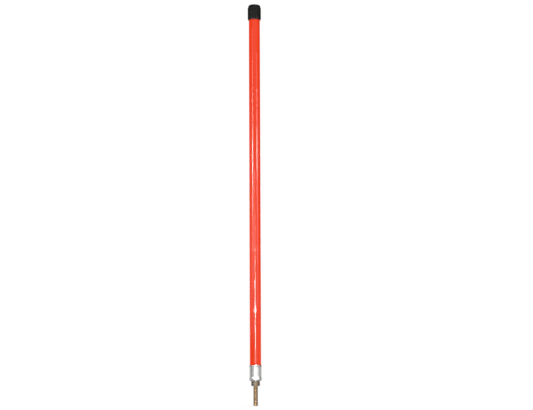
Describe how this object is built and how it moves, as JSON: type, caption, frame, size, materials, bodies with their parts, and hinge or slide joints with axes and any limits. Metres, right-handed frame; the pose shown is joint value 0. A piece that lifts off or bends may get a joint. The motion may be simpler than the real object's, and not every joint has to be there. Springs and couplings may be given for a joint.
{
  "type": "alignment stick",
  "caption": "Bright upright marker rod with a ribbed push-on end cap, a swaged metal ferrule and a threaded mounting stud with its nut and lock washer.",
  "frame": {"origin": "on the stick's axis, in the plane of the nut's lower face when the nut is tight, where the free length of the stud begins", "axes": "+Z along the stick from the stud up to the cap; one flat of the nut faces -Y, the front"},
  "size_m": [0.0228, 0.0228, 0.6858],
  "materials": {
    "tube_plastic": "glossy fluorescent orange-red, slightly translucent at its cut ends",
    "cap_vinyl": "satin black soft vinyl",
    "ferrule_aluminium": "satin, drawn lengthwise",
    "plug_aluminium": "as turned",
    "zinc_stud": "yellow-passivated zinc plating, rolled thread",
    "zinc_washer": "yellow-passivated zinc plating",
    "zinc_nut": "yellow-passivated zinc plating"
  },
  "bodies": {
    "body": {"marker_tube": "tube_plastic", "anchor_plug": "plug_aluminium", "ferrule": "ferrule_aluminium", "stud": "zinc_stud"},
    "washer_body": {"lock_washer": "zinc_washer"},
    "nut_body": {"hex_nut": "zinc_nut"},
    "cap_body": {"end_cap": "cap_vinyl"}
  },
  "joints": [
    {"name": "nut_travel", "type": "slide", "parent": "body", "child": "washer_body", "axis": [0, 0, -1], "range_m": [0, 0.0325]},
    {"name": "nut_turn", "type": "hinge", "parent": "washer_body", "child": "nut_body", "pos_m": [0, 0, 0.00337], "axis": [0, 0, -1], "range_deg": [0, 8280]},
    {"name": "cap_pull", "type": "slide", "parent": "body", "child": "cap_body", "axis": [0, 0, 1], "range_m": [0, 0.023]}
  ],
  "couplings": [
    {"joint": "nut_travel", "follows": "nut_turn", "m_per_rad": 0.00022459}
  ]
}
